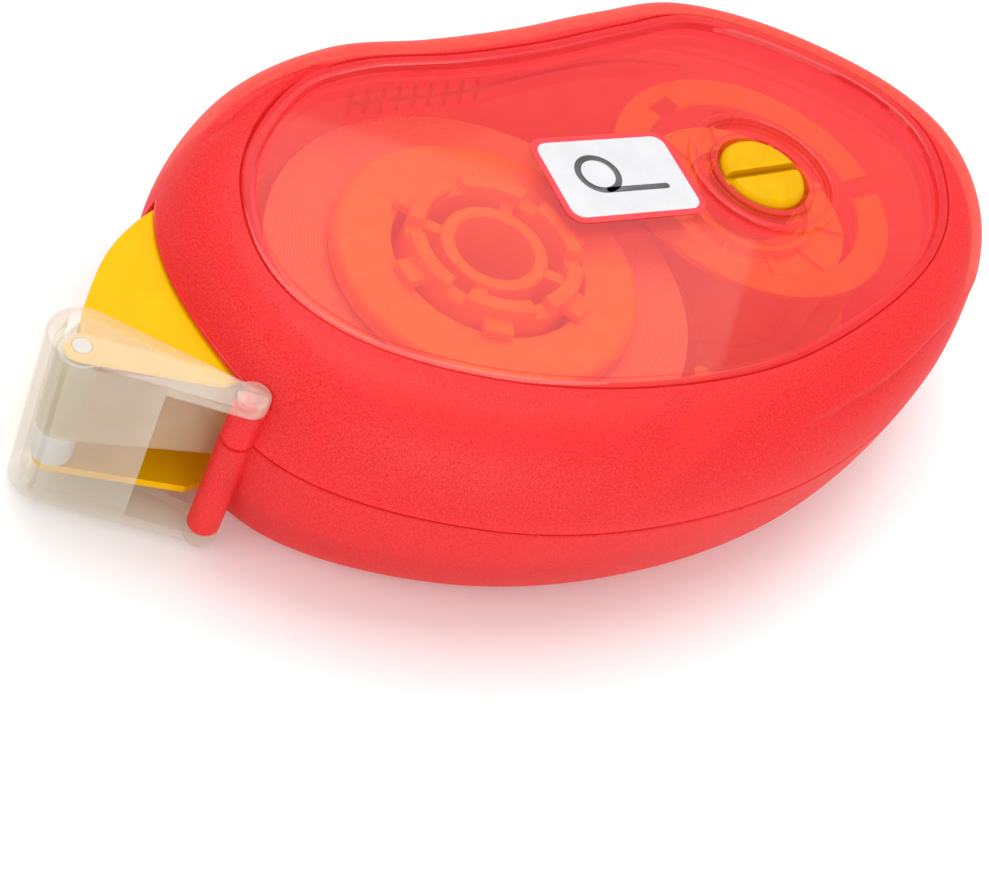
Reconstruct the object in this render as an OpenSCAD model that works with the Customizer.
// Refillable correction tape roller: palm-sized housing on a yellow tape cartridge,
// with a swinging clear tip cap, a geared supply and take-up pair and a slotted tension knob.
// Origin: axis of the supply spool on the flat rear face. +Z runs along the spool axes,
// +X runs from the supply spool to the take-up spool. Millimetres.

/* [Housing] */
// Height of the closed housing, rear face to window
body_h = 28; // [27.8:0.1:28.2]
// Height of the seam between the two covers
seam_z = 17; // [16.8:0.1:17.2]
// Wall thickness of the covers
wall = 1.5; // [1.2:0.1:1.6]
// Width of the seam groove
seam_gap = 0.3; // [0.2:0.05:0.4]

/* [Gears] */
// Gear module
gear_module = 1.3; // [1.3]
// Teeth on the supply gear
supply_teeth = 41; // [41]
// Teeth on the take-up gear
take_up_teeth = 19; // [19]
// Face width of both gears
gear_w = 2.6; // [2.4:0.1:2.7]

/* [Tape] */
// Width of the tape
tape_w = 11; // [10.5:0.1:11]
// Radius of the full supply roll
roll_r = 24.5; // [18:0.1:24.6]
// Drawn thickness of a single layer of tape
tape_t = 0.12; // [0.1:0.01:0.16]

/* [Tip] */
// Radius of the tip roller
tip_r = 2.15; // [2:0.05:2.2]
// Radius of the tip axle
axle_r = 1; // [0.9:0.05:1.05]
// Outside radius of the cap around the tip
cap_r = 3.7; // [3.6:0.05:3.8]
// Radius of the hinge barrel
barrel_r = 1.75; // [1.6:0.05:1.8]

/* [Fits] */
// Radial clearance of a running fit
run_fit = 0.06; // [0.05:0.01:0.08]

/* [Hidden] */
$fn = 64;
eps = 0.01;

// Places
centre_dist = gear_module * (supply_teeth + take_up_teeth) / 2;
take_up_at = [centre_dist, 0];
tip_at = [-47.3, 2.2];
hinge_at = [-35.1, -9.6];

// Levels
gear_z = 5.6;
base_z = 8.5;
base_t = 0.8;
tape_z = 9.6;
tape_top = tape_z + tape_w;
nose_low_z = 3.8;
nose_low_t = 1;
nose_z = 20.9;
nose_t = 0.6;
pane_z = 26.2;
pane_t = 1.2;
ledge_w = 1.6;
cap_low_z = 0.9;
cap_low_t = 1.4;
cap_top_z = 21.8;
cap_top_t = 1.2;
barrel_low = 2.5;
barrel_top = 21.6;
cap_relief_low = 3.2;
cap_relief_top = 2.1;
cap_pin_r = 0.85;

// Housing outlines: the edge of the window, and the widest line at the seam
rim_pts = [[-28.8, 2], [-24.5, 15], [-13.5, 24.5], [-3, 27], [10, 25.6], [22, 25.3], [35, 26],
           [46.5, 25.9], [57, 19.4], [66, 8.5], [67, -2], [59, -13.5], [45, -21], [24, -25.5],
           [5, -24], [-12, -18.2], [-24.5, -9]];
wide_pts = [[-36.2, 2], [-33, 17], [-20, 29.3], [-4, 34.2], [9, 33.4], [22, 33], [36, 33.6],
            [49, 32.8], [63, 25.3], [74.5, 12], [77.6, -1], [70.5, -14.2], [54, -25.6], [30, -33.8],
            [6, -34.2], [-15, -28.4], [-32, -15.4]];
curve_steps = 4;
rear_foot = 0.3;

function blend4(a, b, c, d, t) =
    0.5 * (2 * b + (c - a) * t + (2 * a - 5 * b + 4 * c - d) * t * t + (3 * b - a - 3 * c + d) * t * t * t);
function closed_curve(p) = let (m = len(p))
    [for (i = [0 : m - 1]) for (k = [0 : curve_steps - 1])
        blend4(p[(i + m - 1) % m], p[i], p[(i + 1) % m], p[(i + 2) % m], k / curve_steps)];
function open_curve(p, steps) = let (m = len(p))
    [for (i = [0 : m - 2]) for (k = [0 : steps - (i == m - 2 ? 0 : 1)])
        blend4(p[max(i - 1, 0)], p[i], p[i + 1], p[min(i + 2, m - 1)], k / steps)];

rim = closed_curve(rim_pts);
wide = closed_curve(wide_pts);
count = len(rim);
function outward(i) = (wide[i] - rim[i]) / norm(wide[i] - rim[i]);
// A ring at fraction f of the way from the window's edge to the widest line, plus d outwards
function ring_at(f, d) = [for (i = [0 : count - 1]) rim[i] + (wide[i] - rim[i]) * f + outward(i) * d];
function lift(pts, z) = [for (p = pts) [p[0], p[1], z]];

// Cover sections as [fraction, distance, height]
shoulder_h = body_h - seam_z;
front_section = concat(
    [for (a = [0 : 15 : 90]) [sin(a), 0, seam_z + shoulder_h * cos(a)]],
    [for (a = [90 : -20 : 30]) [sin(a), -wall * sin(a), seam_z + (shoulder_h - wall) * cos(a)]],
    [[0, -ledge_w, pane_z - 1.4], [0, -ledge_w, pane_z], [0, 0, pane_z]]);
rear_top = seam_z - seam_gap;
rear_power = 1;
function rear_f(a) = rear_foot + (1 - rear_foot) * pow(cos(a), rear_power);
function rear_z(a) = rear_top * (1 - pow(sin(a), rear_power));
rear_section = concat(
    [for (a = [0 : 10 : 90]) [rear_f(a), 0, rear_z(a)]],
    [[rear_foot, -wall - 0.5, 0], [rear_foot, -wall - 0.5, wall]],
    [for (a = [75, 55, 35, 18, 0]) [rear_f(a), -wall, wall + rear_z(a) * (1 - wall / rear_top)]]);

// Pins that hold the covers together: place, and the height where each meets the shoulder
pins_at = [[-16.5, 26.4, 25.7], [22, 29, 25.5], [65, 14.5, 26.4], [64, -13.5, 25.9], [46, -23.5, 26.1]];
pin_r = 0.9;
socket_r = 1.7;
pin_low = 10;

// Supply stack
spindle_r = 4.5;
hub_bore = spindle_r + run_fit;
inner_ring_r = 6.1;
clutch_in = 8.2;
clutch_r = 10;
spool_bore = 11.1;
spool_core_r = 12.4;
spool_flange_r = 17.6;

// Take-up stack
take_up_spindle_r = 3;
take_up_core_r = 11;
take_up_liner_r = 11.6;
take_up_flange_r = 13.2;
knob_r = 5.4;
knob_hole_r = 5.9;

// Tape route: each entry is a centre and a radius, positive where the tape turns left
guide_r = 1;
guide_ring_r = 26.6;
near_guides = [for (a = [240, 276, 312]) guide_ring_r * [cos(a), sin(a)]];
mouth_guide = 28 * [cos(203), sin(203)];
guides_at = concat([mouth_guide], near_guides);
play = 0.1;
route = concat([[[0, 0], roll_r + play], [tip_at, tip_r + play], [mouth_guide, -guide_r - play - tape_t]],
               [for (g = near_guides) [g, guide_r + play]],
               [[take_up_at, -take_up_liner_r - play - tape_t]]);
function leg_angle(i) = let (d = route[i + 1][0] - route[i][0])
    atan2(d[1], d[0]) + asin((route[i][1] - route[i + 1][1]) / norm(d));
function turned(a0, a1, r) = r > 0 ? a0 + ((a1 - a0) % 360 + 360) % 360 : a0 - ((a0 - a1) % 360 + 360) % 360;
function leg_in(i) = (leg_angle(i - 1) % 360 + 360) % 360;
function on_circle(i, a, d) = route[i][0] + (route[i][1] + d) * [sin(a), -cos(a)];
function turn(i, a0, a1, n, d) = [for (k = [0 : n]) on_circle(i, a0 + (a1 - a0) * k / n, d)];
tip_front = 270;
function feed_side(d) = concat([on_circle(0, leg_angle(0), d)],
    turn(1, leg_in(1), tip_front - 2, 6, d));
function return_side(d) = concat(
    turn(1, tip_front + 2, leg_in(2), 6, d),
    [for (i = [2 : len(route) - 2]) each turn(i, leg_in(i), turned(leg_in(i), leg_angle(i), route[i][1]), 3, d)],
    [on_circle(len(route) - 1, leg_angle(len(route) - 2), d)]);

module strip(left, right, z, h) {
    translate([0, 0, z])
        linear_extrude(h) polygon(concat(left, [for (i = [len(right) - 1 : -1 : 0]) right[i]]));
}

module rod(at, r, z0, z1) {
    translate([at[0], at[1], z0]) cylinder(r = r, h = z1 - z0);
}

module tube(at, r_out, r_in, z0, z1) {
    difference() {
        rod(at, r_out, z0, z1);
        rod(at, r_in, z0 - 1, z1 + 1);
    }
}

// Closed band swept round the outline, one ring of points for each corner of the section
module swept_ring(section) {
    m = len(section);
    points = [for (s = section) each lift(ring_at(s[0], s[1]), s[2])];
    faces = [for (j = [0 : m - 1]) for (i = [0 : count - 1])
        let (a = j * count + i, b = j * count + (i + 1) % count,
             c = ((j + 1) % m) * count + (i + 1) % count, d = ((j + 1) % m) * count + i)
        each [[a, c, b], [a, d, c]]];
    polyhedron(points, faces);
}

// Two circles joined by their outer tangents
module link_2d(p1, r1, p2, r2) {
    d = p2 - p1;
    a = atan2(d[1], d[0]);
    s = asin((r1 - r2) / norm(d));
    up = [cos(a + 90 - s), sin(a + 90 - s)];
    down = [cos(a - 90 + s), sin(a - 90 + s)];
    translate(p1) circle(r1);
    translate(p2) circle(r2);
    polygon([p1 + r1 * down, p2 + r2 * down, p2 + r2 * up, p1 + r1 * up]);
}

// Involute spur gear outline
pressure_angle = 20;
backlash = 0.16;
function spread(r, rb) = r <= rb ? 0 : let (t = sqrt(pow(r / rb, 2) - 1)) t * 180 / PI - atan(t);
module gear_2d(teeth) {
    rp = gear_module * teeth / 2;
    rb = rp * cos(pressure_angle);
    tip = rp + gear_module;
    root = rp - 1.2 * gear_module;
    half = 90 / teeth - backlash / rp * 90 / PI;
    radii = [root, rp - 0.6 * gear_module, rp, rp + 0.5 * gear_module, tip];
    widths = [for (r = radii) half + spread(rp, rb) - spread(r, rb)];
    n = len(radii);
    polygon([for (k = [0 : teeth - 1]) let (c = 360 * k / teeth)
        each concat([for (j = [0 : n - 1]) radii[j] * [cos(c - widths[j]), sin(c - widths[j])]],
                    [for (j = [n - 1 : -1 : 0]) radii[j] * [cos(c + widths[j]), sin(c + widths[j])]])]);
}

// Openings shared by both covers: the mouth for the nose, and room for the cap's ends
mouth_y = [-7.4, 17.7];
module mouth_cut(z0, z1) {
    translate([-50, mouth_y[0], z0]) cube([22.5, mouth_y[1] - mouth_y[0], z1 - z0]);
}

module front_cover() {
    color([0.9, 0.12, 0.13])
    difference() {
        union() {
            difference() {
                swept_ring(front_section);
                mouth_cut(seam_z - 1, nose_z + 1.1);
                rod(hinge_at, cap_relief_top, barrel_top, body_h + 1);
            }
            rod(hinge_at, barrel_r, seam_z + 0.1, barrel_top);
            for (p = pins_at) rod(p, pin_r + 0.5, seam_z, p[2]);
            for (p = pins_at) rod(p, pin_r, pin_low + 0.3, seam_z + 1);
        }
        rod(hinge_at, cap_pin_r + run_fit, seam_z - 1, barrel_top + 1);
    }
}

module rear_cover() {
    color([0.88, 0.1, 0.11])
    difference() {
        union() {
            difference() {
                union() {
                    swept_ring(rear_section);
                    linear_extrude(wall) polygon(ring_at(rear_foot, -wall));
                }
                mouth_cut(nose_low_z - 0.5, seam_z + 1);
                rod(hinge_at, cap_relief_low, -1, barrel_low);
            }
            rod(hinge_at, barrel_r, barrel_low, rear_top);
            rod([0, 0], spindle_r, wall - eps, 24.6);
            rod([0, 0], spindle_r + 1.2, wall - eps, 2);
            rod(take_up_at, take_up_spindle_r, wall - eps, tape_top);
            rod(take_up_at, take_up_spindle_r + 1.2, wall - eps, 2);
            for (p = pins_at) rod(p, socket_r, wall - eps, rear_top);
        }
        rod(hinge_at, cap_pin_r + run_fit, barrel_low - 1, seam_z + 1);
        rod([0, 0], spindle_r - 1.2, 3, 26);
        for (p = pins_at) rod(p, pin_r + run_fit, pin_low, rear_top + 1);
    }
}

grip_count = 9;
grip_step = [2.1, -0.14];
wave_rib = [[-6, 22.2], [3, 21.7], [9, 21.3], [21, 22.1], [33, 21.9], [41, 19.4]];
rib_w = 0.6;
rib_low = pane_z - 2.4;
module window() {
    bead_w = 1.7;
    seat_gap = 0.15;
    color([1, 0.2, 0.25])
    difference() {
        union() {
            translate([0, 0, pane_z]) linear_extrude(pane_t) polygon(ring_at(0, -seat_gap));
            translate([0, 0, pane_z + pane_t - eps])
                linear_extrude(body_h - pane_z - pane_t + eps) difference() {
                    polygon(ring_at(0, -seat_gap));
                    polygon(ring_at(0, -seat_gap - bead_w));
                }
            tube(take_up_at, 9.7, 8.7, pane_z, pane_z + pane_t + 0.45);
            rod(take_up_at, knob_hole_r + 1.1, rib_low, pane_z + eps);
            for (k = [0 : grip_count - 1])
                translate([-6.2 + grip_step[0] * k, 22.3 + grip_step[1] * k, pane_z - 0.5])
                    rotate(50) translate([-2.3, -0.25, 0]) cube([4.6, 0.5, 0.5 + eps]);
            wave = open_curve(wave_rib, 4);
            strip(wave, [for (p = wave) p - [0, rib_w]], rib_low, pane_z - rib_low + eps);
        }
        rod(take_up_at, knob_hole_r, 10, body_h + 1);
        tube(take_up_at, 8.4, knob_hole_r + 0.8, pane_z + pane_t - 0.5, body_h + 1);
    }
}

badge_size = [19, 13];
badge_t = 0.15;
module badge() {
    corner = 2;
    color([0.85, 0.85, 0.87])
    translate([19.3, 4, pane_z + pane_t]) rotate(-8) linear_extrude(badge_t) union() {
        square([badge_size[0] - 2 * corner, badge_size[1]], center = true);
        square([badge_size[0], badge_size[1] - 2 * corner], center = true);
        for (x = [-1, 1], y = [-1, 1])
            translate([x * (badge_size[0] / 2 - corner), y * (badge_size[1] / 2 - corner)]) circle(corner);
    }
}

// Nose outline: convex far edge, round eye at the tip, straight near edge
nose_eye_r = 1.8;
far_edge = [[-30.5, 17.4], [-35, 15.6], [-40, 12.2], [-45, 6.6], [-46.7, 3.8]];
module nose_2d() {
    polygon(concat([[-24, -6.4], [-36, -6.2]],
                   [for (a = [240 : -15 : 150]) tip_at + nose_eye_r * [cos(a), sin(a)]],
                   [for (i = [len(far_edge) - 1 : -1 : 0]) far_edge[i]], [[-20, 15]]));
}

ring_out = [take_up_at[0] + 1.9, 1.6];
ring_out_r = 18;
ring_in = [take_up_at[0] + 1.5, 1.2];
ring_in_r = 14;
ring_leg_r = 1.4;
ring_legs = [for (a = [60, 115, -75]) ring_out + 16.2 * [cos(a), sin(a)]];
ring_z = 22.6;
ring_t = 1;

riser_r = 28.5;
module cartridge_base() {
    plate_r = 28.8;
    color([1, 0.78, 0.05])
    difference() {
        union() {
            translate([0, 0, base_z]) linear_extrude(base_t)
                link_2d([0, 0], plate_r, ring_out, ring_out_r + 1);
            translate([0, 0, nose_low_z]) linear_extrude(nose_low_t) difference() {
                nose_2d();
                circle(riser_r);
            }
            translate([0, 0, nose_low_z]) linear_extrude(base_z + base_t - nose_low_z) intersection() {
                nose_2d();
                difference() {
                    circle(riser_r + 0.8);
                    circle(riser_r);
                }
            }
            for (g = guides_at) rod(g, guide_r, base_z, nose_z);
            for (p = ring_legs) rod(p, ring_leg_r, base_z, ring_z);
            edge = open_curve(far_edge, 4);
            translate([0, 0, nose_low_z]) linear_extrude(nose_z - nose_low_z)
                polygon(concat([for (i = [0 : len(edge) - 6]) edge[i]],
                               [for (i = [len(edge) - 6 : -1 : 0]) edge[i] + [0.3, -1]]));
        }
        rod([0, 0], clutch_r + 0.5, base_z - 1, base_z + base_t + 1);
        rod(take_up_at, 6, base_z - 1, base_z + base_t + 1);
        rod(tip_at, axle_r, 0, nose_z);
    }
}

module nose_cover() {
    color([1, 0.8, 0.05])
    translate([0, 0, nose_z]) linear_extrude(nose_t) difference() {
        nose_2d();
        circle(roll_r + 1.5);
        translate(tip_at) circle(axle_r);
    }
}

module take_up_ring() {
    color([1, 0.72, 0.05])
    translate([0, 0, ring_z]) linear_extrude(ring_t) difference() {
        translate(ring_out) circle(ring_out_r);
        translate(ring_in) circle(ring_in_r);
        translate([ring_out[0] + 12, -4]) square([8, 3]);
        translate([ring_out[0] - 5.5, 14]) rotate(20) square([4, 2.2]);
    }
}

module tip_axle() {
    color([0.75, 0.75, 0.77]) rod(tip_at, axle_r, nose_low_z, nose_z + nose_t + 0.05);
}

module tip_roller() {
    color([0.8, 0.8, 0.82]) tube(tip_at, tip_r, axle_r + run_fit, nose_low_z + nose_low_t + 0.15, nose_z - 0.15);
}

module tape_feed() {
    color([0.95, 0.95, 0.92]) strip(feed_side(0), feed_side(tape_t), tape_z, tape_w);
}

module tape_return() {
    color([0.85, 0.83, 0.75]) strip(return_side(0), return_side(tape_t), tape_z, tape_w);
}

// Tip cap: two tear-drop plates, a wall round the front and the near side, and two stub pins
cap_wall_t = 1;
wall_start = 7.8;
cap_turn = atan2(tip_at[1] - hinge_at[1], tip_at[0] - hinge_at[0]);
cap_reach = norm(tip_at - hinge_at);
module cap_plate(z, t) {
    translate([0, 0, z]) linear_extrude(t) link_2d(tip_at, cap_r, hinge_at, barrel_r);
}

module cap() {
    color([0.95, 0.95, 0.93, 0.5]) {
        cap_plate(cap_low_z, cap_low_t);
        cap_plate(cap_top_z, cap_top_t);
        rod(hinge_at, barrel_r, cap_low_z - 0.4, cap_low_z + eps);
        rod(hinge_at, barrel_r, cap_top_z, cap_top_z + cap_top_t + 0.7);
        rod(hinge_at, cap_pin_r, cap_low_z, barrel_low + 2.2);
        rod(hinge_at, cap_pin_r, barrel_top - 2.2, cap_top_z + eps);
        translate([0, 0, cap_low_z]) linear_extrude(cap_top_z + cap_top_t - cap_low_z) intersection() {
            difference() {
                link_2d(tip_at, cap_r, hinge_at, barrel_r);
                link_2d(tip_at, cap_r - cap_wall_t, hinge_at, barrel_r - cap_wall_t);
            }
            union() {
                translate(hinge_at) rotate(cap_turn) translate([wall_start, 0]) square([20, 10]);
                difference() {
                    translate(tip_at) circle(cap_r + 1);
                    translate(hinge_at) circle(cap_reach + tip_r + 0.3);
                }
            }
        }
    }
}

module supply_spool() {
    flange_z = tape_top + 0.4;
    color([1, 0.8, 0.1])
    rotate_extrude() polygon([[spool_bore, tape_z], [spool_core_r, tape_z], [spool_core_r, flange_z],
        [spool_flange_r, flange_z], [spool_flange_r, 22.8], [spool_flange_r - 0.6, 23.3],
        [spool_bore, 23.3]]);
}

module supply_tape() {
    color([0.96, 0.93, 0.9]) tube([0, 0], roll_r, spool_core_r + 0.03, tape_z, tape_top);
}

module supply_gear() {
    lighten = 6;
    color([0.93, 0.93, 0.9])
    difference() {
        union() {
            translate([0, 0, gear_z]) linear_extrude(gear_w) gear_2d(supply_teeth);
            rod([0, 0], clutch_r - 0.2, gear_z, tape_z - 0.1);
            rod([0, 0], inner_ring_r, 2.2, gear_z + eps);
        }
        rod([0, 0], hub_bore, 0, 20);
        for (k = [0 : lighten - 1]) rotate(360 / lighten * k) rod([17.5, 0], 4.2, 0, base_z);
    }
}

lug_count = 6;
module clutch_hub() {
    spokes = 4;
    color([1, 0.6, 0.1])
    difference() {
        union() {
            tube([0, 0], clutch_r, clutch_in, tape_z - 0.1, 25.9);
            tube([0, 0], inner_ring_r, hub_bore, tape_z - 0.1, 25);
            for (k = [0 : spokes - 1]) rotate(45 + 360 / spokes * k)
                translate([inner_ring_r - 0.4, -0.7, 21]) cube([clutch_in - inner_ring_r + 0.8, 1.4, 3.4]);
            for (k = [0 : lug_count - 1]) rotate(360 / lug_count * k) intersection() {
                tube([0, 0], 12, clutch_r - 0.2, 23.5, 24.5);
                translate([0, -1.6, 23]) cube([14, 3.2, 3]);
            }
            tube([0, 0], clutch_r, hub_bore, tape_z - 0.1, tape_z + 0.9);
        }
        for (k = [0 : lug_count - 1]) rotate(30 + 360 / lug_count * k)
            translate([clutch_in - 1, -1.1, 24.6]) cube([4, 2.2, 3]);
    }
}

module friction_ring() {
    ring_minor = (spool_bore - clutch_r) / 2 - 0.04;
    color([0.15, 0.15, 0.15])
    translate([0, 0, 15]) rotate_extrude() translate([clutch_r + ring_minor, 0]) circle(ring_minor);
}

module take_up_gear() {
    color([0.93, 0.93, 0.9])
    difference() {
        union() {
            translate([take_up_at[0], 0, gear_z]) rotate(180 / take_up_teeth * ((take_up_teeth + 1) % 2))
                linear_extrude(gear_w) gear_2d(take_up_teeth);
            rod(take_up_at, 5.6, gear_z, tape_z - 0.1);
            rod(take_up_at, 4.2, 2.2, gear_z + eps);
        }
        rod(take_up_at, take_up_spindle_r + run_fit, 0, 20);
    }
}

module take_up_spool() {
    flange_z = tape_top + 0.4;
    cells = 10;
    color([1, 0.78, 0.08]) {
        tube(take_up_at, take_up_core_r, take_up_core_r - 1.4, tape_z - 0.1, flange_z + eps);
        tube(take_up_at, take_up_core_r - 1, take_up_spindle_r + run_fit, tape_z - 0.1, tape_z + 1);
        tube(take_up_at, take_up_flange_r, knob_r + eps, flange_z, flange_z + 0.9);
        tube(take_up_at, 8.6, 7.8, flange_z, flange_z + 2.4);
        for (k = [0 : cells - 1]) translate([take_up_at[0], 0, flange_z + 0.8]) rotate(360 / cells * k)
            translate([8.4, -0.3, 0]) cube([4.4, 0.6, 0.7]);
    }
}

module take_up_tape() {
    color([0.85, 0.83, 0.75]) tube(take_up_at, take_up_liner_r, take_up_core_r, tape_z, tape_top);
}

slot_w = 1.2;
slot_depth = 1.1;
module tension_knob() {
    knob_top = body_h - 0.1;
    color([1, 0.82, 0])
    difference() {
        union() {
            translate([take_up_at[0], 0, tape_top + 0.4]) rotate_extrude()
                polygon([[0, 0], [knob_r, 0], [knob_r, knob_top - tape_top - 1.0],
                         [knob_r - 0.6, knob_top - tape_top - 0.4], [0, knob_top - tape_top - 0.4]]);
        }
        translate([take_up_at[0], 0, knob_top - slot_depth]) rotate(-4)
            translate([-10, -slot_w / 2, 0]) cube([20, slot_w, 5]);
    }
}

front_cover();
window();
rear_cover();
badge();
cartridge_base();
nose_cover();
take_up_ring();
tip_axle();
tape_feed();
tape_return();
cap();
tip_roller();
supply_spool();
supply_tape();
supply_gear();
clutch_hub();
friction_ring();
take_up_gear();
take_up_spool();
take_up_tape();
tension_knob();
